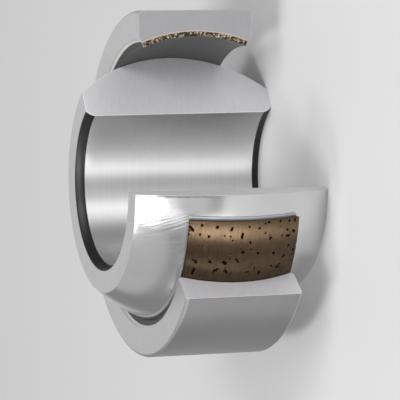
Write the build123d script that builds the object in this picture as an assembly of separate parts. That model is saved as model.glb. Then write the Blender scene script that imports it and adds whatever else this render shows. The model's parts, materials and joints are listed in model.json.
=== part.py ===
from build123d import *
import os
from math import asin, cos, degrees, radians, sin, sqrt

# Spherical plain bearing with a lined outer ring, cut open to show its section.
# The bearing axis is Z and the origin is the centre of the ball. Millimetres and degrees.
# Angles run counter-clockwise about +Z, from the outer ring's first cut face at +X.

# Driving dimensions
BORE_DIAMETER = 12.0
BALL_DIAMETER = 22.0
INNER_RING_WIDTH = 15.0
OUTER_RING_WIDTH = 9.0
OUTER_RING_WALL = 1.55        # at the middle of the socket, where the ring is thinnest
BRONZE_THICKNESS = 0.34
FILM_THICKNESS = 0.08
RUNNING_CLEARANCE = 0.03      # between the ball and the film, on the radius

# Edges
OUTER_EDGE_RADIUS = 0.25
MOUTH_CHAMFER = 0.23
BORE_EDGE_DEPTH = 0.65        # along the axis
BORE_EDGE_WIDTH = 0.42        # along the radius
BORE_EDGE_RADIUS = 1.1

# Where each piece begins and ends after the cut
OUTER_RING_ANGLES = (0.0, 235.3)
BRONZE_ANGLES = (0.0, 260.3)
FILM_ANGLES = (0.0, 261.6)
INNER_RING_ANGLES = (33.7, 270.0)

# Radii of the surfaces that nest in each other, from the ball outwards to the 26 mm outside
BALL_RADIUS = BALL_DIAMETER / 2
FILM_INNER_RADIUS = BALL_RADIUS + RUNNING_CLEARANCE
FILM_OUTER_RADIUS = FILM_INNER_RADIUS + FILM_THICKNESS
SOCKET_RADIUS = FILM_OUTER_RADIUS + BRONZE_THICKNESS
OUTER_RADIUS = SOCKET_RADIUS + OUTER_RING_WALL

# The socket, and with it the lining, ends where the mouth's chamfer begins
SOCKET_HALF_WIDTH = OUTER_RING_WIDTH / 2 - MOUTH_CHAMFER
SOCKET_LATITUDE = degrees(asin(SOCKET_HALF_WIDTH / SOCKET_RADIUS))


def on_sphere(radius, latitude):
    """Point of the section, as (distance from the axis, height), on a sphere about the origin."""
    return (radius * cos(radians(latitude)), radius * sin(radians(latitude)))


def turn_sector(outline, angles):
    """Turn a closed section about the bearing axis, through the sector that is left of it."""
    start, end = angles
    section = Plane.XZ * make_face(outline)
    return Rot(0, 0, start) * revolve(section, Axis.Z, end - start)


def lining_shell(inner_radius, outer_radius, angles):
    """One spherical layer of the lining. Its rims lie on radii of the ball."""
    inner_low = on_sphere(inner_radius, -SOCKET_LATITUDE)
    inner_high = on_sphere(inner_radius, SOCKET_LATITUDE)
    outer_low = on_sphere(outer_radius, -SOCKET_LATITUDE)
    outer_high = on_sphere(outer_radius, SOCKET_LATITUDE)
    outline = [
        ThreePointArc(inner_low, (inner_radius, 0), inner_high),
        Line(inner_high, outer_high),
        ThreePointArc(outer_high, (outer_radius, 0), outer_low),
        Line(outer_low, inner_low),
    ]
    return turn_sector(outline, angles)


def make_outer_ring():
    """Steel ring with a spherical socket, chamfered mouths and rounded outer edges."""
    radius = OUTER_RADIUS
    face = OUTER_RING_WIDTH / 2
    edge = OUTER_EDGE_RADIUS
    socket_low = on_sphere(SOCKET_RADIUS, -SOCKET_LATITUDE)
    socket_high = on_sphere(SOCKET_RADIUS, SOCKET_LATITUDE)
    mouth_radius = socket_high[0] + MOUTH_CHAMFER
    outline = [
        ThreePointArc(socket_low, (SOCKET_RADIUS, 0), socket_high),
        Line(socket_high, (mouth_radius, face)),
        Line((mouth_radius, face), (radius - edge, face)),
        CenterArc((radius - edge, face - edge), edge, 0, 90),
        Line((radius, face - edge), (radius, edge - face)),
        CenterArc((radius - edge, edge - face), edge, -90, 90),
        Line((radius - edge, -face), (mouth_radius, -face)),
        Line((mouth_radius, -face), socket_low),
    ]
    return turn_sector(outline, OUTER_RING_ANGLES)


def bore_edge(face_side):
    """The two ends of the rounded edge between the bore and one face: at the bore, at the face."""
    bore_radius = BORE_DIAMETER / 2
    face = INNER_RING_WIDTH / 2
    at_bore = (bore_radius, face_side * (face - BORE_EDGE_DEPTH))
    at_face = (bore_radius + BORE_EDGE_WIDTH, face_side * face)
    return at_bore, at_face


def make_inner_ring():
    """Steel ring with a spherical outside, flat faces and a straight bore with rounded edges."""
    face = INNER_RING_WIDTH / 2
    face_radius = sqrt(BALL_RADIUS**2 - face**2)
    low_bore, low_face = bore_edge(-1)
    high_bore, high_face = bore_edge(1)
    outline = [
        Line(low_bore, high_bore),
        RadiusArc(high_bore, high_face, BORE_EDGE_RADIUS),
        Line(high_face, (face_radius, face)),
        ThreePointArc((face_radius, face), (BALL_RADIUS, 0), (face_radius, -face)),
        Line((face_radius, -face), low_face),
        RadiusArc(low_face, low_bore, BORE_EDGE_RADIUS),
    ]
    return turn_sector(outline, INNER_RING_ANGLES)


pieces = {
    "outer_ring": make_outer_ring(),
    "bronze_lining": lining_shell(FILM_OUTER_RADIUS, SOCKET_RADIUS, BRONZE_ANGLES),
    "sliding_film": lining_shell(FILM_INNER_RADIUS, FILM_OUTER_RADIUS, FILM_ANGLES),
    "inner_ring": make_inner_ring(),
}

os.makedirs("parts", exist_ok=True)
for name, piece in pieces.items():
    export_step(piece, f"parts/{name}.step")
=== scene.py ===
import json
import random
from math import asin, atan2, cos, degrees, pi, radians, sin, sqrt

import bmesh
import bpy
from mathutils import Matrix, Vector, noise


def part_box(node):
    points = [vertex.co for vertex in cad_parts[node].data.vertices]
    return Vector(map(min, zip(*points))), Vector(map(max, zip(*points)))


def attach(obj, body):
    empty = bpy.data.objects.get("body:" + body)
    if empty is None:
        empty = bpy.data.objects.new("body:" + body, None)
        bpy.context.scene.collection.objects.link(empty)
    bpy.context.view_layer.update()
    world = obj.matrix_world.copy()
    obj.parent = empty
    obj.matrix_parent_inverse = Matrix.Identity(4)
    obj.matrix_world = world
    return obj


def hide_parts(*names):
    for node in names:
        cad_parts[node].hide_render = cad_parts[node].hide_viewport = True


# Looks of a spherical plain bearing that is cut open to show its layers
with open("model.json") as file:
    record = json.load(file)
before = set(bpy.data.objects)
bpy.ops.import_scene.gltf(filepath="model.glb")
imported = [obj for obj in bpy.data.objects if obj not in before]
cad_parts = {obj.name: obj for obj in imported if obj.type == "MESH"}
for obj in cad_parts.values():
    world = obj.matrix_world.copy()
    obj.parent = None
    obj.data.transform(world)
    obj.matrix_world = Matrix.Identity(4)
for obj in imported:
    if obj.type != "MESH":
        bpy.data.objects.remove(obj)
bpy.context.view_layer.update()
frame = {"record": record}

MM = 0.001

# Sizes of the bearing in millimetres, read from the frame where a flat face or a cut gives them exactly
BORE_MOUNT = next(mount for mount in frame["record"]["mounts"] if mount["name"] == "bore")
BORE_RADIUS = BORE_MOUNT["dims"]["r_mm"]
OUTER_RADIUS = round(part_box("outer_ring")[1].x / MM, 2)
OUTER_FACE = round(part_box("outer_ring")[1].z / MM, 2)
INNER_FACE = round(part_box("inner_ring")[1].z / MM, 2)
SOCKET_RIM = round(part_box("bronze_lining")[1].z / MM, 2)
BALL_RADIUS = 11.0
FILM_INNER_RADIUS = 11.03
FILM_OUTER_RADIUS = 11.11
SOCKET_RADIUS = 11.45
OUTER_EDGE_RADIUS = 0.25
BORE_EDGE_WIDTH = 0.42
BORE_EDGE_RADIUS = 1.1

# Where each piece begins and ends after the cut, in degrees about +Z
OUTER_RING_ANGLES = (0.0, 235.3)
BRONZE_ANGLES = (0.0, 260.3)
FILM_ANGLES = (0.0, 261.6)
INNER_RING_ANGLES = (33.7, 270.0)

SOCKET_LATITUDE = degrees(asin(SOCKET_RIM / SOCKET_RADIUS))
MOUTH_RADIUS = sqrt(SOCKET_RADIUS**2 - SOCKET_RIM**2) + OUTER_FACE - SOCKET_RIM
BORE_END = BORE_MOUNT["dims"]["length_mm"] / 2

# Edges
SHARP_FROM = 35               # edges that turn by more than this stay crisp, in degrees
OUTER_RING_BREAK = 0.03       # width of the fine bevel along the outer ring's edges
INNER_RING_BREAK = 0.045      # and along the edges of the inner ring's cuts

# Steps of the meshes
TURN_STEPS = 180              # round a ring, from its first cut to its last
COVERED_STEPS = 90            # round the bronze where the outer ring covers it
WINDOW_STEPS = 150            # round the bronze in the window
BALL_STEPS = 96
SOCKET_STEPS = 48
EDGE_STEPS = 8

# A face that stands this near to a plane lies in it, as a share of its normal or in degrees
IN_PLANE = 0.01

ON_SPHERE = 0.9               # a face of a sphere looks along its radius at least this squarely
SAME_POINT = 0.0005           # points of a section that are nearer than this are one


class Section:
    """Half section of a ring, drawn in the XZ plane from point to point. Millimetres."""

    def __init__(self, x, z):
        self.bm = bmesh.new()
        self.tip = self.bm.verts.new((x, 0, z))

    def line(self, x, z):
        """Draw a straight edge to a point."""
        start = self.tip
        self.tip = self.bm.verts.new((x, 0, z))
        self.bm.edges.new((start, self.tip))
        return self

    def arc(self, centre_x, centre_z, turn, steps):
        """Swing the tip about a centre. A positive turn goes from +Z towards +X."""
        swept = bmesh.ops.spin(
            self.bm, geom=[self.tip], cent=(centre_x, 0, centre_z), axis=(0, 1, 0),
            angle=radians(turn), steps=steps)
        self.tip = next(item for item in swept["geom_last"] if isinstance(item, bmesh.types.BMVert))
        return self

    def close(self):
        """Join the tip to the first point and fill the section."""
        bmesh.ops.remove_doubles(self.bm, verts=self.bm.verts[:], dist=SAME_POINT)
        bmesh.ops.contextual_create(self.bm, geom=self.bm.edges[:])
        return self


def turn_ring(section, angles, stages=((1.0, TURN_STEPS),)):
    """Turn a section about the bearing axis from its first cut to its last, as a closed solid.

    stages gives the share of the whole turn and the number of steps of each stretch."""
    bm = section.bm
    start, end = angles
    bmesh.ops.rotate(bm, verts=bm.verts[:], cent=(0, 0, 0), matrix=Matrix.Rotation(radians(start), 3, "Z"))
    front = bm.verts[:] + bm.edges[:] + bm.faces[:]
    for share, steps in stages:
        swept = bmesh.ops.spin(
            bm, geom=front, cent=(0, 0, 0), axis=(0, 0, 1),
            angle=radians(end - start) * share, steps=steps)
        front = swept["geom_last"]
    bmesh.ops.recalc_face_normals(bm, faces=bm.faces[:])
    return bm


def break_edges(bm, size, finish_at, sharper_than=20):
    """Take a fine bevel off every edge that is sharper than the given angle.

    finish_at gives the finish of the fresh bevels along the cut at each angle."""
    limit = radians(sharper_than)
    edges = [edge for edge in bm.edges if edge.is_manifold and edge.calc_face_angle() > limit]
    bevelled = bmesh.ops.bevel(
        bm, geom=edges, offset=size, offset_type="OFFSET", affect="EDGES", segments=2, profile=0.5,
        material=-1, clamp_overlap=True)
    for face in bevelled["faces"]:
        for angle, finish in finish_at.items():
            if from_cut(face.calc_center_median(), angle) < size:
                face.material_index = finish


def from_cut(point, angle):
    """Distance from a point to the cut at an angle."""
    around = atan2(point.y, point.x)
    return 2 * point.xy.length * abs(sin((around - radians(angle)) / 2))


def add_piece(name, bm, finishes, node, body):
    """Make the finished mesh an object in metres, riding on its body in place of its node."""
    bmesh.ops.scale(bm, vec=(MM, MM, MM), verts=bm.verts[:])
    for face in bm.faces:
        face.smooth = True
    for edge in bm.edges:
        edge.smooth = edge.calc_face_angle(0) < radians(SHARP_FROM)
    mesh = bpy.data.meshes.new(name)
    bm.to_mesh(mesh)
    bm.free()
    piece = bpy.data.objects.new(name, mesh)
    bpy.context.scene.collection.objects.link(piece)
    for finish in finishes:
        mesh.materials.append(finish)
    weighted = piece.modifiers.new("even_shading", "WEIGHTED_NORMAL")
    weighted.keep_sharp = True
    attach(piece, body)
    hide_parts(node)


def sort_faces(bm, finish_of):
    """Give each face the finish that its place on the ring calls for."""
    for face in bm.faces:
        face.material_index = finish_of(face)


def is_cut(face, angles):
    """Whether a face lies in the plane of a cut at one of the angles."""
    centre = face.calc_center_median()
    around = degrees(atan2(centre.y, centre.x)) % 360
    return abs(face.normal.z) < IN_PLANE and min(abs(around - angle) for angle in angles) < IN_PLANE


def is_flat(face):
    """Whether a face is square to the bearing axis."""
    return abs(face.normal.z) > 1 - IN_PLANE


def looks_out(face):
    """How squarely a face looks away from the ball's centre, from 1 down to -1 for one that faces it."""
    return face.normal.dot(face.calc_center_median().normalized())


def point_on_ball(radius, latitude):
    """Point of a section on a sphere about the origin, as (x, z)."""
    return radius * cos(radians(latitude)), radius * sin(radians(latitude))


class Signal:
    """A value in a finish. Arithmetic on it adds the Math nodes that work it out."""

    def __init__(self, finish, socket):
        self.finish = finish
        self.socket = socket

    def math(self, operation, *values):
        """Work this value out further, with others where the operation takes them."""
        return self.finish.add("ShaderNodeMath", {"operation": operation}, [self, *values])

    def reflected(self, operation, first):
        """The same with this value as the second one."""
        return self.finish.add("ShaderNodeMath", {"operation": operation}, [first, self])

    def __add__(self, other):
        return self.math("ADD", other)

    def __sub__(self, other):
        return self.math("SUBTRACT", other)

    def __rsub__(self, other):
        return self.reflected("SUBTRACT", other)

    def __mul__(self, other):
        return self.math("MULTIPLY", other)

    def __truediv__(self, other):
        return self.math("DIVIDE", other)

    def __rtruediv__(self, other):
        return self.reflected("DIVIDE", other)

    __radd__ = __add__
    __rmul__ = __mul__

    def ramp(self, low, high):
        """0 below low, 1 above high and smooth between. Low may be the larger."""
        return self.finish.add("ShaderNodeMapRange", {"interpolation_type": "SMOOTHSTEP"}, {
            "Value": self, "From Min": low, "From Max": high})

    def spread(self, half_range=0.2):
        """The middle of a noise's range drawn out to run from 0 to 1."""
        return self.ramp(0.5 - half_range, 0.5 + half_range)

    def swing(self, amount):
        """A noise moved to swing about 0, by half the amount to each side."""
        return (self - 0.5) * amount


class Finish:
    """A surface finish: a material with one Principled shader and the nodes that feed it.

    constants are the shader's even values, each named as its socket is, with _ for a space."""

    def __init__(self, name, **constants):
        self.material = bpy.data.materials.new(name)
        self.material.use_nodes = True
        self.tree = self.material.node_tree
        self.shader = self.tree.nodes["Principled BSDF"]
        for socket, value in constants.items():
            self.shader.inputs[socket.replace("_", " ")].default_value = value
        self.place = self.add("ShaderNodeVectorMath", {"operation": "SCALE"}, {
            "Vector": self.add("ShaderNodeTexCoord", {}, {}, "Object"), "Scale": 1 / MM})
        axes = self.tree.nodes.new("ShaderNodeSeparateXYZ")
        self.feed(axes.inputs[0], self.place)
        self.x, self.y, self.z = (Signal(self, output) for output in axes.outputs)

    def feed(self, socket, value):
        """Set a socket to a number or colour, or link a signal to it."""
        if isinstance(value, Signal):
            self.tree.links.new(value.socket, socket)
        else:
            socket.default_value = value

    def add(self, kind, settings, inputs, output=0):
        """Add a node with its settings made first, then its inputs, and give one of its outputs."""
        node = self.tree.nodes.new(kind)
        for name, value in settings.items():
            if name == "stops":
                self.set_stops(node.color_ramp, value)
            else:
                setattr(node, name, value)
        pairs = inputs.items() if isinstance(inputs, dict) else enumerate(inputs)
        for socket, value in pairs:
            self.feed(node.inputs[socket], value)
        return Signal(self, node.outputs[output])

    @staticmethod
    def set_stops(color_ramp, stops):
        """Lay out a colour ramp's stops, given as (position, colour)."""
        while len(color_ramp.elements) < len(stops):
            color_ramp.elements.new(1.0)
        for element, (position, colour) in zip(color_ramp.elements, stops):
            element.position = position
            element.color = colour

    def noise(self, vector, scale, detail=2.0, roughness=0.5):
        """Soft noise from 0 to 1."""
        return self.add("ShaderNodeTexNoise", {}, {
            "Vector": vector, "Scale": scale, "Detail": detail, "Roughness": roughness})

    def streaks(self, first, second, third=0.0, detail=2.0, roughness=0.5):
        """Noise over the given coordinates, in streaks that run the way these change least."""
        vector = self.add("ShaderNodeCombineXYZ", {}, [first, second, third])
        return self.noise(vector, 1.0, detail, roughness)

    def mix(self, factor, first, second):
        """Blend two colours."""
        settings = {"data_type": "RGBA", "clamp_factor": True}
        return self.add("ShaderNodeMix", settings, {0: factor, 6: first, 7: second}, 2)

    def colours(self, value, stops):
        return self.add("ShaderNodeValToRGB", {"stops": stops}, [value])

    def around(self):
        """Angle about the bearing axis, from -pi to pi."""
        return self.y.math("ARCTAN2", self.x)

    def from_axis(self):
        """Distance from the bearing axis in millimetres."""
        return (self.x * self.x + self.y * self.y).math("SQRT")

    def from_centre(self):
        """Distance from the ball's centre in millimetres."""
        return self.add("ShaderNodeVectorMath", {"operation": "LENGTH"}, [self.place], "Value")

    def bump(self, height, strength, depth):
        """Shade the surface as if it rose by height times depth, in millimetres."""
        bump = self.add("ShaderNodeBump", {}, {
            "Height": height, "Strength": strength, "Distance": depth * MM})
        self.feed(self.shader.inputs["Normal"], bump)

    def colour(self, value):
        self.feed(self.shader.inputs["Base Color"], value)

    def roughness(self, value):
        self.feed(self.shader.inputs["Roughness"], value)


ALONG_AXIS = 0.25             # quarter turn that draws highlights out across the grinding lines

# The patch of lapping marks on the ball
LAPPED_SPOT = Vector((-1.96, -9.24, 5.63))
LAPPED_CORE = 1.6             # the marks are full within this distance from the spot
LAPPED_REACH = 4.0            # and gone beyond this one

GRAINS_PER_MM = 6.0           # in the section of the bronze


def grey(value):
    """A neutral grey."""
    return (value, value, value, 1.0)


def ground_steel_finish(name, base, roughness, stretch, pitch, depth, in_face=False, edge_highlight_base=None):
    """Ground steel: fine lines round the ring, over faint clouds of sheen.

    The lines have a pitch and a depth in millimetres, and stretch draws highlights out across them.
    They lie side by side along the axis, or along the radius in a flat face.
    edge_highlight_base is the base grey of the outer ring's rounded edges, paler than the rest as a
    painted highlight along them."""
    finish = Finish(name, Metallic=1.0, Anisotropic=stretch, Anisotropic_Rotation=ALONG_AXIS)
    across = finish.from_axis() if in_face else finish.z
    lines = finish.streaks(across / pitch, finish.around() * 0.8, detail=1.0)
    cloud = finish.noise(finish.place, 0.35)
    shade = lines * 0.4 + cloud * 0.6
    steel = finish.mix(shade.spread(), grey(base * 0.96), grey(base * 1.04))
    # Paler grey on the outer ring's rounded edges: a painted highlight along them
    if edge_highlight_base:
        height = finish.z.math("ABSOLUTE")
        edge_highlight_mask = height.ramp(OUTER_FACE - OUTER_EDGE_RADIUS, OUTER_FACE - 0.04)
        steel = finish.mix(edge_highlight_mask, steel, grey(edge_highlight_base))
    finish.colour(steel)
    finish.roughness(roughness + lines.swing(0.08) + cloud.swing(0.06))
    finish.bump(lines, strength=0.4, depth=depth)
    return finish.material


def lapped_ball_finish():
    """Lapped ball: satin bright, with short slanting lapping marks in one patch beside the window."""
    finish = Finish("lapped_ball", Metallic=1.0, Anisotropic=0.25, Anisotropic_Rotation=ALONG_AXIS)
    # Nearly millimetres, across and along marks that slant by about 25 degrees
    across = finish.around() * 9.2 + finish.z * 0.42
    along = finish.z * 0.9 - finish.around() * 4.3
    marks = finish.streaks(across * 6.0, along * 0.5, detail=1.0)
    haze = finish.noise(finish.place, 0.3)
    from_spot = finish.add(
        "ShaderNodeVectorMath", {"operation": "DISTANCE"}, [finish.place, LAPPED_SPOT], "Value")
    patch = from_spot.ramp(LAPPED_REACH, LAPPED_CORE)
    finish.colour(finish.mix(haze.spread(), grey(0.66), grey(0.70)))
    finish.roughness(0.20 + marks.swing(0.12) * patch + haze.swing(0.05))
    finish.bump(marks * patch, strength=0.8, depth=0.012)
    return finish.material


def cut_steel_finish(name, base):
    """Cut face of a ring: matt pale steel with a fine even grain."""
    finish = Finish(name, Metallic=0.3)
    grain = finish.noise(finish.place, 11.0, detail=3.0, roughness=0.7)
    strokes = finish.streaks(finish.from_axis() * 1.2, finish.z * 7.0, finish.x * 0.3)
    patch = finish.noise(finish.place, 0.6)
    shade = grain * 0.45 + strokes * 0.35 + patch * 0.2
    dull = (base * 0.95, base * 0.94, base * 0.98, 1)
    bright = (base * 1.04, base * 1.03, base * 1.07, 1)
    finish.colour(finish.mix(shade.spread(0.15), dull, bright))
    finish.roughness(0.52 + grain.swing(0.12))
    finish.bump(grain, strength=0.4, depth=0.004)
    return finish.material


def mouth_chamfer_finish():
    """Turned chamfer of the socket's mouths: pale and faintly green, duller along its outer edge."""
    finish = Finish("mouth_chamfer", Metallic=0.3)
    turned = finish.streaks(finish.from_axis() * 22.0, finish.around() * 2.0)
    pale = finish.mix(turned.spread(), (0.62, 0.625, 0.59, 1), (0.72, 0.725, 0.69, 1))
    outer_half = finish.from_axis().ramp(MOUTH_RADIUS - 0.12, MOUTH_RADIUS - 0.07)
    finish.colour(finish.mix(outer_half * 0.8, pale, grey(0.43)))
    finish.roughness(0.42 + turned.swing(0.1))
    finish.bump(turned, strength=0.4, depth=0.002)
    return finish.material


def dark_edge_finish():
    """The bore's rounded edges, coloured nearly black as painted shade."""
    finish = Finish("dark_bore_edge", Metallic=0.9)
    marks = finish.streaks(finish.from_axis() * 9.0, finish.around() * 2.0, finish.z * 9.0)
    cloud = finish.noise(finish.place, 0.8)
    shade = marks * 0.6 + cloud * 0.4
    finish.colour(finish.mix(shade, (0.024, 0.024, 0.026, 1), (0.062, 0.062, 0.064, 1)))
    finish.roughness(0.36 + marks * 0.15)
    finish.bump(marks, strength=0.4, depth=0.002)
    return finish.material


def bronze_face_finish():
    """Outer face of the sintered layer: satin bronze with fine streaks, specks and dark pores."""
    finish = Finish("sintered_bronze", Metallic=0.95, Anisotropic=1.0, Anisotropic_Rotation=ALONG_AXIS)
    streaks = finish.streaks(finish.z * 6.0, finish.around() * 5.0, detail=3.0, roughness=0.65)
    mottle = finish.noise(finish.place, 1.6, detail=4.0, roughness=0.6)
    speck = finish.noise(finish.place, 9.0)
    tone = streaks * 0.4 + mottle * 0.35 + speck * 0.25
    metal = finish.colours(tone, [
        (0.32, (0.064, 0.042, 0.025, 1)),
        (0.50, (0.094, 0.062, 0.037, 1)),
        (0.68, (0.128, 0.085, 0.051, 1)),
    ])
    # Painted shade, about 0.1 mm wide, along the left rim (in millimetres) and the outer ring (in radians)
    by_rim = finish.z.ramp(SOCKET_RIM - 0.11, SOCKET_RIM - 0.03)
    ring_edge = radians(OUTER_RING_ANGLES[1] - 360)
    by_outer_ring = finish.around().ramp(ring_edge + 0.011, ring_edge + 0.003)
    seam_shade = by_rim.math("MAXIMUM", by_outer_ring)
    metal = finish.mix(seam_shade * 0.75, metal, (0.012, 0.008, 0.005, 1))
    pore = finish.add("ShaderNodeAttribute", {"attribute_name": "pore"}, {}, "Fac")
    # Pores coloured near black: painted shade in their hollows, which the mesh sinks only a little
    pore_shade = pore.ramp(0.0, 0.3)
    finish.colour(finish.mix(pore_shade, metal, (0.010, 0.005, 0.003, 1)))
    finish.roughness(0.34 + speck.swing(0.10) + pore_shade * 0.5)
    finish.bump(speck * 0.5 + streaks * 0.5, strength=0.5, depth=0.004)
    return finish.material


def bronze_grain_finish(name):
    """Section of the lining: bronze grains with dark gaps between a thin solid skin and the film."""
    finish = Finish(name, Metallic=0.5)
    radius = finish.from_centre()
    packing = {"Vector": finish.place, "Scale": GRAINS_PER_MM}
    grains = finish.add("ShaderNodeTexVoronoi", {"feature": "F1"}, packing, "Color")
    gaps = finish.add("ShaderNodeTexVoronoi", {"feature": "DISTANCE_TO_EDGE"}, packing, "Distance")
    pick = finish.add("ShaderNodeSeparateColor", {}, [grains])
    bronze = finish.colours(pick, [
        (0.0, (0.035, 0.030, 0.022, 1)),
        (0.32, (0.050, 0.038, 0.026, 1)),
        (0.44, (0.24, 0.14, 0.08, 1)),
        (0.62, (0.42, 0.31, 0.21, 1)),
        (0.84, (0.52, 0.42, 0.31, 1)),
        (1.0, (0.52, 0.50, 0.44, 1)),
    ])
    wander = finish.noise(finish.place, 3.0, detail=1.0) * 0.05
    skin = (radius + wander).ramp(SOCKET_RADIUS - 0.045, SOCKET_RADIUS - 0.015)
    in_gap = gaps.ramp(0.14, 0.04) * (1 - skin)
    body = finish.mix(in_gap, bronze, (0.026, 0.021, 0.015, 1))
    in_film = (radius - wander).ramp(FILM_INNER_RADIUS + 0.005, FILM_INNER_RADIUS - 0.035)
    body = finish.mix(in_film, body, (0.060, 0.058, 0.054, 1))
    rim_sine = SOCKET_RIM / SOCKET_RADIUS
    at_rim = (finish.z.math("ABSOLUTE") / radius).ramp(rim_sine - 0.007, rim_sine - 0.003)
    body = finish.mix(at_rim * 0.8, body, (0.46, 0.47, 0.38, 1))
    finish.colour(finish.mix(skin, body, (0.56, 0.46, 0.36, 1)))
    finish.roughness(0.5 + in_gap * 0.4)
    finish.bump(gaps.ramp(0.0, 0.15), strength=0.6, depth=0.02)
    return finish.material


def bronze_edge_finish():
    """Edge of the window, where the sintered layer is cut back to the film: crumbly, with painted shade.
    """
    finish = Finish("bronze_window_edge", Metallic=0.4)
    crumbs = finish.noise(finish.place, 9.0, detail=3.0, roughness=0.7)
    finish.colour(finish.mix(crumbs.spread(0.15), (0.030, 0.022, 0.015, 1), (0.100, 0.070, 0.045, 1)))
    finish.roughness(0.5 + crumbs * 0.3)
    finish.bump(crumbs, strength=0.5, depth=0.01)
    return finish.material


def lining_finish(name, base, roughness, olive=0.0):
    """Dry sliding material: grey, with an olive cast on the rims, and a fine cloudy texture."""
    finish = Finish(name, Metallic=0.2)
    cloud = finish.noise(finish.place, 5.0, detail=4.0, roughness=0.7)
    dark = (base * 0.89, base * 0.90, base * (0.90 - olive), 1)
    light = (base * 1.09, base * 1.10, base * (1.10 - olive), 1)
    finish.colour(finish.mix(cloud.spread(), dark, light))
    finish.roughness(roughness + cloud.swing(0.2))
    finish.bump(cloud, strength=0.3, depth=0.004)
    return finish.material


def film_back_finish():
    """Back of the film where it reaches past the bronze: pale grey, with painted shade at the bronze's
    edge.
    """
    finish = Finish("film_back", Metallic=0.2)
    cloud = finish.noise(finish.place, 5.0, detail=4.0, roughness=0.7)
    pale = finish.mix(cloud.spread(), (0.35, 0.36, 0.37, 1), (0.43, 0.44, 0.45, 1))
    bronze_edge = radians(BRONZE_ANGLES[1] - 360)
    shade_by_bronze = finish.around().ramp(bronze_edge + 0.012, bronze_edge)
    # Painted shade along the bronze's raised edge
    finish.colour(finish.mix(shade_by_bronze * 0.75, pale, grey(0.11)))
    finish.roughness(0.42 + cloud.swing(0.2))
    finish.bump(cloud, strength=0.3, depth=0.004)
    return finish.material


def build_outer_ring():
    """Outer ring: spherical socket, chamfered mouths, flat faces and rounded outer edges."""
    low = point_on_ball(SOCKET_RADIUS, -SOCKET_LATITUDE)
    flat_end = OUTER_RADIUS - OUTER_EDGE_RADIUS
    edge_z = OUTER_FACE - OUTER_EDGE_RADIUS
    section = Section(*low)
    section.arc(0, 0, -2 * SOCKET_LATITUDE, SOCKET_STEPS)
    section.line(MOUTH_RADIUS, OUTER_FACE)
    section.line(flat_end, OUTER_FACE)
    section.arc(flat_end, edge_z, 90, EDGE_STEPS)
    section.line(OUTER_RADIUS, -edge_z)
    section.arc(flat_end, -edge_z, 90, EDGE_STEPS)
    section.line(MOUTH_RADIUS, -OUTER_FACE)
    section.line(*low)
    bm = turn_ring(section.close(), OUTER_RING_ANGLES)
    outside, flat, cut, window_cut, broken_edge, mouth_chamfer = range(6)

    def finish_of(face):
        if is_cut(face, OUTER_RING_ANGLES[:1]):
            return cut
        if is_cut(face, OUTER_RING_ANGLES[1:]):
            return window_cut
        if is_flat(face):
            return flat
        centre = face.calc_center_median()
        in_mouth = centre.xy.length < MOUTH_RADIUS and abs(centre.z) > SOCKET_RIM
        return mouth_chamfer if in_mouth else outside

    sort_faces(bm, finish_of)
    break_edges(bm, OUTER_RING_BREAK, dict.fromkeys(OUTER_RING_ANGLES, broken_edge))
    # Base greys set face by face partly for light and shade: the outside's dark grey is partly painted
    # shade, the two cut faces are lit and shaded copies of one steel (0.34 and 0.70), and the bevels along
    # the cuts are painted duller
    finishes = [
        ground_steel_finish(
            "ground_outside", base=0.27, roughness=0.42, stretch=0.8, pitch=0.12, depth=0.001,
            edge_highlight_base=0.62),
        ground_steel_finish(
            "ground_outer_face", base=0.58, roughness=0.36, stretch=0.3, pitch=0.15, depth=0.001,
            in_face=True),
        cut_steel_finish("cut_outer_ring", base=0.34),
        cut_steel_finish("cut_at_window", base=0.70),
        cut_steel_finish("broken_edge", base=0.52),
        mouth_chamfer_finish(),
    ]
    add_piece("outer_ring_turned", bm, finishes, "outer_ring", "outer_ring")


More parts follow.
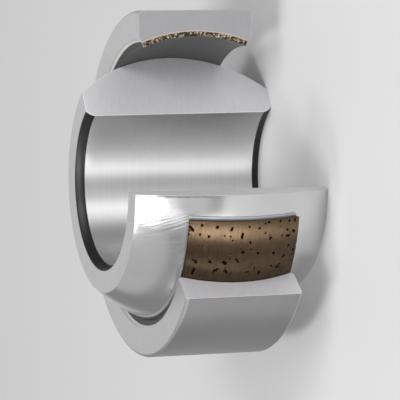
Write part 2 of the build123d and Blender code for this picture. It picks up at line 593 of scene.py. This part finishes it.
def build_inner_ring():
    """Inner ring: lapped ball outside, flat faces, ground bore with dark rounded edges."""
    face_radius = sqrt(BALL_RADIUS**2 - INNER_FACE**2)
    face_latitude = degrees(asin(INNER_FACE / BALL_RADIUS))
    at_bore = Vector((BORE_RADIUS, BORE_END))
    at_face = Vector((BORE_RADIUS + BORE_EDGE_WIDTH, INNER_FACE))
    chord = at_face - at_bore
    swing = degrees(2 * asin(chord.length / 2 / BORE_EDGE_RADIUS))
    inward = Vector((chord.y, -chord.x)).normalized() * sqrt(BORE_EDGE_RADIUS**2 - (chord.length / 2)**2)
    centre = (at_bore + at_face) / 2 + inward
    section = Section(BORE_RADIUS, -BORE_END)
    section.line(*at_bore)
    section.arc(centre.x, centre.y, swing, EDGE_STEPS)
    section.line(face_radius, INNER_FACE)
    section.arc(0, 0, 2 * face_latitude, BALL_STEPS)
    section.line(at_face.x, -INNER_FACE)
    section.arc(centre.x, -centre.y, swing, EDGE_STEPS)
    bm = turn_ring(section.close(), INNER_RING_ANGLES)
    ball, flat, bore, edge, cut, painted_highlight_edge, dull_edge = range(7)

    def finish_of(face):
        if is_cut(face, INNER_RING_ANGLES):
            return cut
        if is_flat(face):
            return flat
        centre = face.calc_center_median()
        if centre.xy.length > at_face.x:
            return ball
        return bore if abs(centre.z) < BORE_END else edge

    sort_faces(bm, finish_of)
    # The bevels along the cut at 33.7 degrees are painted pale, a painted highlight along the ball's edge;
    # those along the other cut are painted duller
    finish_at = dict(zip(INNER_RING_ANGLES, (painted_highlight_edge, dull_edge)))
    break_edges(bm, INNER_RING_BREAK, finish_at, sharper_than=60)
    # The bore's near-white grey is partly painted light, to brighten the bands that it mirrors
    finishes = [
        lapped_ball_finish(),
        ground_steel_finish(
            "ground_inner_face", base=0.58, roughness=0.36, stretch=0.3, pitch=0.15, depth=0.001,
            in_face=True),
        ground_steel_finish(
            "ground_bore", base=0.94, roughness=0.55, stretch=1.0, pitch=0.11, depth=0.0008),
        dark_edge_finish(),
        cut_steel_finish("cut_inner_ring", base=0.70),
        cut_steel_finish("broken_upper_edge", base=0.85),
        cut_steel_finish("broken_lower_edge", base=0.56),
    ]
    add_piece("inner_ring_turned", bm, finishes, "inner_ring", "inner_ring")


def lining_section(inner_radius, outer_radius, inner_steps, outer_steps):
    """Section of one layer of the lining: two arcs about the ball's centre and two rims."""
    section = Section(*point_on_ball(inner_radius, -SOCKET_LATITUDE))
    section.arc(0, 0, -2 * SOCKET_LATITUDE, inner_steps)
    section.line(*point_on_ball(outer_radius, SOCKET_LATITUDE))
    section.arc(0, 0, 2 * SOCKET_LATITUDE, outer_steps)
    section.line(*point_on_ball(inner_radius, -SOCKET_LATITUDE))
    return section.close()


# The larger pores in the window that the outer ring leaves bare. Each has its place, as shares of the
# window's width from its left side and of its height from its top, then its length and width in
# millimetres and its lean to the right in degrees.
PORES = [
    (0.03, 0.14, 0.50, 0.13, -36), (0.13, 0.07, 0.17, 0.15, 0), (0.27, 0.09, 0.20, 0.17, 0),
    (0.20, 0.26, 0.18, 0.15, 20), (0.40, 0.13, 0.24, 0.12, 10), (0.50, 0.24, 0.40, 0.14, 8),
    (0.56, 0.09, 0.15, 0.13, 0), (0.65, 0.12, 0.14, 0.12, 0), (0.73, 0.03, 0.20, 0.13, 90),
    (0.83, 0.03, 0.18, 0.13, 80), (0.91, 0.04, 0.20, 0.17, 0), (0.965, 0.04, 0.26, 0.13, 30),
    (0.755, 0.31, 0.28, 0.15, 35), (0.96, 0.24, 0.28, 0.22, -60), (0.91, 0.31, 0.36, 0.16, 90),
    (0.86, 0.29, 0.15, 0.11, 0), (0.90, 0.20, 0.16, 0.10, -30), (0.975, 0.57, 0.30, 0.14, -20),
    (0.90, 0.65, 0.36, 0.13, 50), (0.80, 0.57, 0.28, 0.15, -25), (0.66, 0.54, 0.24, 0.19, 60),
    (0.525, 0.51, 0.26, 0.20, 70), (0.105, 0.70, 0.32, 0.18, -50), (0.24, 0.68, 0.24, 0.13, -60),
    (0.37, 0.68, 0.42, 0.19, -55), (0.49, 0.66, 0.16, 0.12, 0), (0.10, 0.87, 0.55, 0.16, 12),
    (0.305, 0.81, 0.44, 0.14, 52), (0.40, 0.83, 0.30, 0.14, -45), (0.445, 0.86, 0.15, 0.12, 0),
    (0.59, 0.84, 0.26, 0.13, 75), (0.70, 0.87, 0.24, 0.19, 20), (0.86, 0.80, 0.50, 0.14, 42),
    (0.80, 0.78, 0.15, 0.12, 0), (0.655, 0.78, 0.15, 0.12, 20), (0.925, 0.49, 0.24, 0.11, 25),
]
SMALL_PORES = 45
SMALL_PORE_SEED = 12
WINDOW_BORDER = 0.05          # left without pores at the window's two ends, in degrees
PORE_DEPTH = 0.07
PORE_WALL = 0.03              # how wide a pore's sloping wall is
PORE_TRIM = 0.016             # taken off a pore's radius, so that the wall straddles the stated width

# How much the bulge of the bronze draws the window's middle to the right and down in the photograph:
# the middle moves by a quarter of this, as a share of the window's width or height
BULGE_RIGHT = 0.18
BULGE_DOWN = 0.14

# How a pore's outline strays from its smooth shape, coarsely and finely: turns in a millimetre, and
# how far in millimetres
COARSE_TURNS = 7.0
COARSE_STRAY = 0.07
FINE_TURNS = 17.0
FINE_STRAY = 0.035


def pore_at(across, down, length, width, lean):
    """Angle about the axis, latitude, half length, radius and lean of a pore at a place in the window."""
    share = across - BULGE_RIGHT * across * (1 - across)
    height = SOCKET_RIM * (1 - 2 * share)
    turned = down - BULGE_DOWN * down * (1 - down)
    around = BRONZE_ANGLES[1] + (OUTER_RING_ANGLES[1] - BRONZE_ANGLES[1]) * turned
    reach = max(length - width, 0.0) / 2
    return radians(around), asin(height / SOCKET_RADIUS), reach, width / 2 - PORE_TRIM, radians(lean)


def small_pores(chance):
    """Fine pores scattered over the window, most of them at its lower right."""
    pores = []
    while len(pores) < SMALL_PORES:
        across, down = chance.random(), chance.random()
        if chance.random() < 0.35 + 0.65 * across * down:
            width = chance.uniform(0.05, 0.08)
            length = width * chance.uniform(1, 2.5)
            pores.append(pore_at(across, down, length, width, chance.uniform(-60, 60)))
    return pores


def stray(point, coarse_shift, fine_shift):
    """How far a pore's outline strays at a point, in millimetres. The shifts pick the noise."""
    coarse = noise.noise(point * COARSE_TURNS + coarse_shift) * COARSE_STRAY
    fine = noise.noise(point * FINE_TURNS + fine_shift) * FINE_STRAY
    return coarse + fine


def pore_share(point, pores):
    """How far a point of the lining lies inside a pore, from 0 outside to 1 well inside."""
    around = atan2(point.y, point.x) % (2 * pi)
    latitude = asin(point.z / point.length)
    stray_up = stray(point, Vector((0, 0, 0)), Vector((0, 0, 0)))
    stray_right = stray(point, Vector((40, 0, 0)), Vector((0, 40, 0)))
    deepest = 0.0
    for place, place_latitude, reach, radius, lean in pores:
        up = (around - place) * SOCKET_RADIUS * cos(latitude) + stray_up
        right = (place_latitude - latitude) * SOCKET_RADIUS + stray_right
        if max(abs(up), abs(right)) > reach + radius + PORE_WALL:
            continue
        along = up * cos(lean) + right * sin(lean)
        off = right * cos(lean) - up * sin(lean)
        beyond = max(abs(along) - reach, 0.0)
        inside = radius - sqrt(beyond * beyond + off * off)
        deepest = max(deepest, min(max(inside / PORE_WALL + 1.0, 0.0), 1.0))
    return deepest


def build_bronze_lining():
    """Sintered layer, with real pores in the window that the outer ring leaves bare."""
    section = lining_section(FILM_OUTER_RADIUS, SOCKET_RADIUS, inner_steps=24, outer_steps=240)
    covered = OUTER_RING_ANGLES[1] / BRONZE_ANGLES[1]
    bm = turn_ring(section, BRONZE_ANGLES, [(covered, COVERED_STEPS), (1 - covered, WINDOW_STEPS)])
    outside, rim, cut, window_edge = range(4)

    def finish_of(face):
        if is_cut(face, BRONZE_ANGLES[:1]):
            return cut
        if is_cut(face, BRONZE_ANGLES[1:]):
            return window_edge
        return outside if abs(looks_out(face)) > ON_SPHERE else rim

    sort_faces(bm, finish_of)
    pore = bm.verts.layers.float.new("pore")
    pores = [pore_at(*placed) for placed in PORES] + small_pores(random.Random(SMALL_PORE_SEED))
    window_start = radians(OUTER_RING_ANGLES[1] + WINDOW_BORDER)
    window_end = radians(BRONZE_ANGLES[1] - WINDOW_BORDER)
    middle_of_layer = (FILM_OUTER_RADIUS + SOCKET_RADIUS) / 2
    for vert in bm.verts:
        around = atan2(vert.co.y, vert.co.x) % (2 * pi)
        on_inner_face = vert.co.length < middle_of_layer
        if on_inner_face or not window_start < around < window_end:
            continue
        share = pore_share(vert.co, pores)
        vert[pore] = share
        vert.co *= 1 - share * PORE_DEPTH / SOCKET_RADIUS
    finishes = [
        bronze_face_finish(),
        lining_finish("lining_rim", base=0.05, roughness=0.55, olive=0.08),
        bronze_grain_finish("bronze_grains"),
        bronze_edge_finish(),
    ]
    add_piece("bronze_lining_sintered", bm, finishes, "bronze_lining", "outer_ring")


def build_sliding_film():
    """Sliding film on the inside of the sintered layer: dark where the ball runs, paler behind."""
    section = lining_section(FILM_INNER_RADIUS, FILM_OUTER_RADIUS, inner_steps=40, outer_steps=40)
    bm = turn_ring(section, FILM_ANGLES)
    back, running, rim, cut, window_edge = range(5)

    def finish_of(face):
        if is_cut(face, FILM_ANGLES[:1]):
            return cut
        if is_cut(face, FILM_ANGLES[1:]):
            return window_edge
        if abs(looks_out(face)) < ON_SPHERE:
            return rim
        return back if looks_out(face) > 0 else running

    sort_faces(bm, finish_of)
    finishes = [
        film_back_finish(),
        # The running face's dark grey is partly painted shade, for the shade inside the socket
        lining_finish("film_running_face", base=0.085, roughness=0.38),
        lining_finish("film_rim", base=0.045, roughness=0.55, olive=0.08),
        bronze_grain_finish("film_over_grains"),
        lining_finish("film_window_edge", base=0.55, roughness=0.40),
    ]
    add_piece("sliding_film_dry", bm, finishes, "sliding_film", "outer_ring")


# The photograph's view, with its upward direction along +X
AXIS_TURN = 19.87             # how far the bearing axis points out of the picture, in degrees
CAMERA_RISE = 4.95            # how far the camera stands above the axis, in degrees
CAMERA_DISTANCE = 229.65
CAMERA_AIM = Vector((-1.33, -0.23, -0.29))
FOCAL_LENGTH = 273.6
SENSOR_WIDTH = 36.0
NEAREST_SEEN = 0.01           # metres from the camera

LAMP_LEVEL = Vector((0.9, 0.1, 0.3))            # upward direction of a lamp without a lean
FLOOR_REACH = 3.0             # from the bearing to the floor's edge, in metres


def photo_direction(rise, turn):
    """Direction from the bearing, by its rise above the photograph's level and its turn to the left."""
    up = sin(radians(rise))
    level = cos(radians(rise))
    return Vector((up, -level * cos(radians(turn)), level * sin(radians(turn))))


def aimed(position, target, up):
    """Place of a camera or lamp that looks from position to target."""
    back = (position - target).normalized()
    right = up.cross(back).normalized()
    turned = Matrix((right, back.cross(right), back)).transposed().to_4x4()
    return Matrix.Translation(position * MM) @ turned


def add_camera():
    """Camera at the photograph's viewing angle."""
    data = bpy.data.cameras.new("camera")
    data.lens = FOCAL_LENGTH
    data.sensor_width = SENSOR_WIDTH
    data.clip_start = NEAREST_SEEN
    camera = bpy.data.objects.new("camera", data)
    bpy.context.scene.collection.objects.link(camera)
    position = photo_direction(CAMERA_RISE, AXIS_TURN) * CAMERA_DISTANCE
    camera.matrix_world = aimed(position, CAMERA_AIM, Vector((1, 0, 0)))
    bpy.context.scene.camera = camera


def add_softbox(name, rise, turn, distance, width, height, brightness, lean=0.0):
    """Oval soft lamp that faces the bearing, placed by its direction in the photograph.

    A lean above 0 lowers its left end, in degrees. Brightness is what it looks like in a mirror, where 1
    is white."""
    data = bpy.data.lights.new(name, "AREA")
    data.shape = "ELLIPSE"
    data.size = width * MM
    data.size_y = height * MM
    data.energy = brightness * pi * (pi / 4) * data.size * data.size_y
    lamp = bpy.data.objects.new(name, data)
    lamp.visible_camera = False
    bpy.context.scene.collection.objects.link(lamp)
    place = aimed(photo_direction(rise, turn) * distance, Vector((0, 0, 0)), LAMP_LEVEL)
    lamp.matrix_world = place @ Matrix.Rotation(radians(lean), 4, "Z")


def add_floor():
    """Pale floor under the inner ring's lower face."""
    bm = bmesh.new()
    bmesh.ops.create_grid(bm, x_segments=1, y_segments=1, size=FLOOR_REACH)
    bmesh.ops.translate(bm, verts=bm.verts[:], vec=(0, 0, -INNER_FACE * MM))
    mesh = bpy.data.meshes.new("floor")
    bm.to_mesh(mesh)
    bm.free()
    floor = bpy.data.objects.new("floor", mesh)
    bpy.context.scene.collection.objects.link(floor)
    finish = Finish("pale_floor")
    cloud = finish.noise(finish.place, 0.02)
    finish.colour(finish.mix(cloud, grey(0.65), grey(0.68)))
    finish.roughness(0.9)
    mesh.materials.append(finish.material)


def light_world(brightness):
    """Even pale surroundings."""
    world = bpy.data.worlds.new("studio")
    world.use_nodes = True
    background = world.node_tree.nodes["Background"]
    background.inputs["Color"].default_value = grey(1.0)
    background.inputs["Strength"].default_value = brightness
    bpy.context.scene.world = world


build_outer_ring()
build_inner_ring()
build_bronze_lining()
build_sliding_film()
add_floor()
add_camera()
light_world(brightness=0.29)

# Directions in degrees, distances and sizes in millimetres
add_softbox("key", rise=-14.5, turn=57.5, distance=300, width=104, height=72, brightness=14.5, lean=18)
add_softbox("key_glow", rise=-13, turn=49, distance=310, width=215, height=125, brightness=0.6, lean=8)
add_softbox("key_side", rise=-21, turn=34, distance=310, width=80, height=62, brightness=0.9)
add_softbox("key_tail", rise=-23, turn=80, distance=300, width=60, height=54, brightness=16.0)
add_softbox("low_strip", rise=-32, turn=4.5, distance=240, width=38, height=44, brightness=44.0)
add_softbox("low_band", rise=-59, turn=12, distance=300, width=70, height=34, brightness=7.0)
add_softbox("high_strip", rise=32, turn=20, distance=280, width=150, height=80, brightness=1.8)
add_softbox("high_left", rise=31, turn=62, distance=320, width=220, height=140, brightness=4.5)
add_softbox("front_left", rise=10, turn=60, distance=330, width=160, height=70, brightness=2.4)
add_softbox("front", rise=-7, turn=19, distance=320, width=130, height=140, brightness=0.38)
add_softbox("back", rise=0, turn=155, distance=320, width=300, height=200, brightness=0.55)
add_softbox("low_wide", rise=-50, turn=100, distance=330, width=600, height=220, brightness=0.27)
add_softbox("under", rise=-79, turn=21, distance=300, width=150, height=44, brightness=5.5)

bpy.context.scene.view_settings.view_transform = "Standard"
